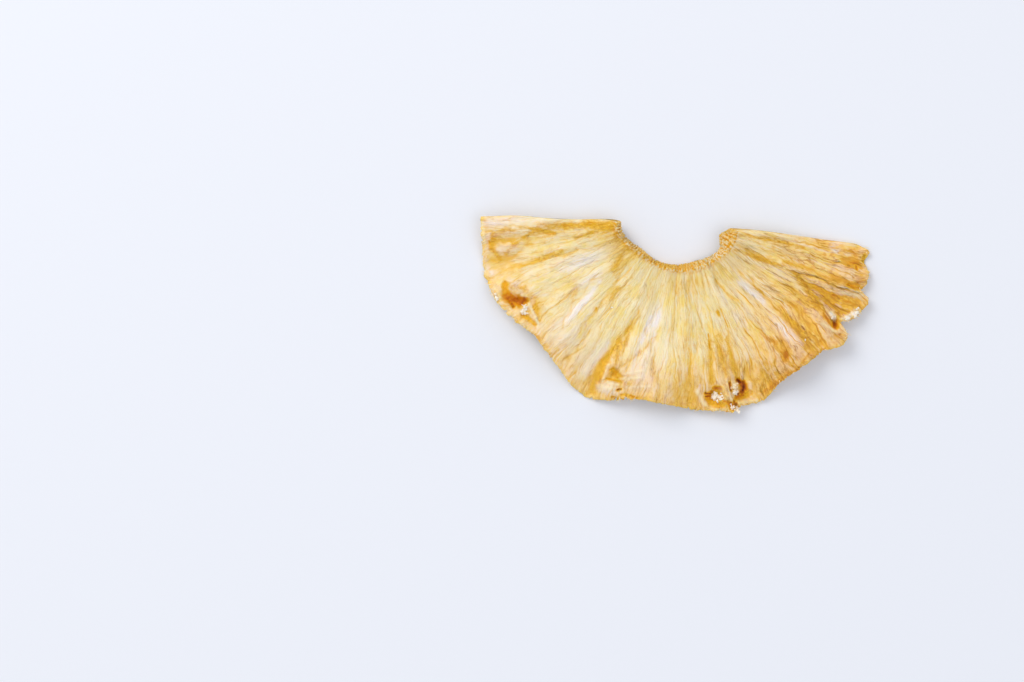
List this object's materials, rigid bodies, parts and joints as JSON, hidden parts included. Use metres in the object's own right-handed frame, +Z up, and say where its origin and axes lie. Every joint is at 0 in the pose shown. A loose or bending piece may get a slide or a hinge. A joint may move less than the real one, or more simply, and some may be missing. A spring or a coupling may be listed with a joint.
{
  "type": "dried pineapple slice",
  "caption": "Thin pleated half ring of dried pineapple with its core cut out, wavy and lying flat side down, with hollows along the rim.",
  "frame": {"origin": "on the plane the slice lies on, under the middle of its outline's box", "axes": "+Z up out of the shown face, +Y towards the straight cut and the core notch, +X along the cut to the picture's right"},
  "size_m": [0.0901, 0.0455, 0.0069],
  "materials": {
    "dried_flesh": "dry fibrous fruit flesh, cream to golden, satin"
  },
  "bodies": {
    "root": {"pineapple_slice": "dried_flesh"}
  },
  "joints": []
}
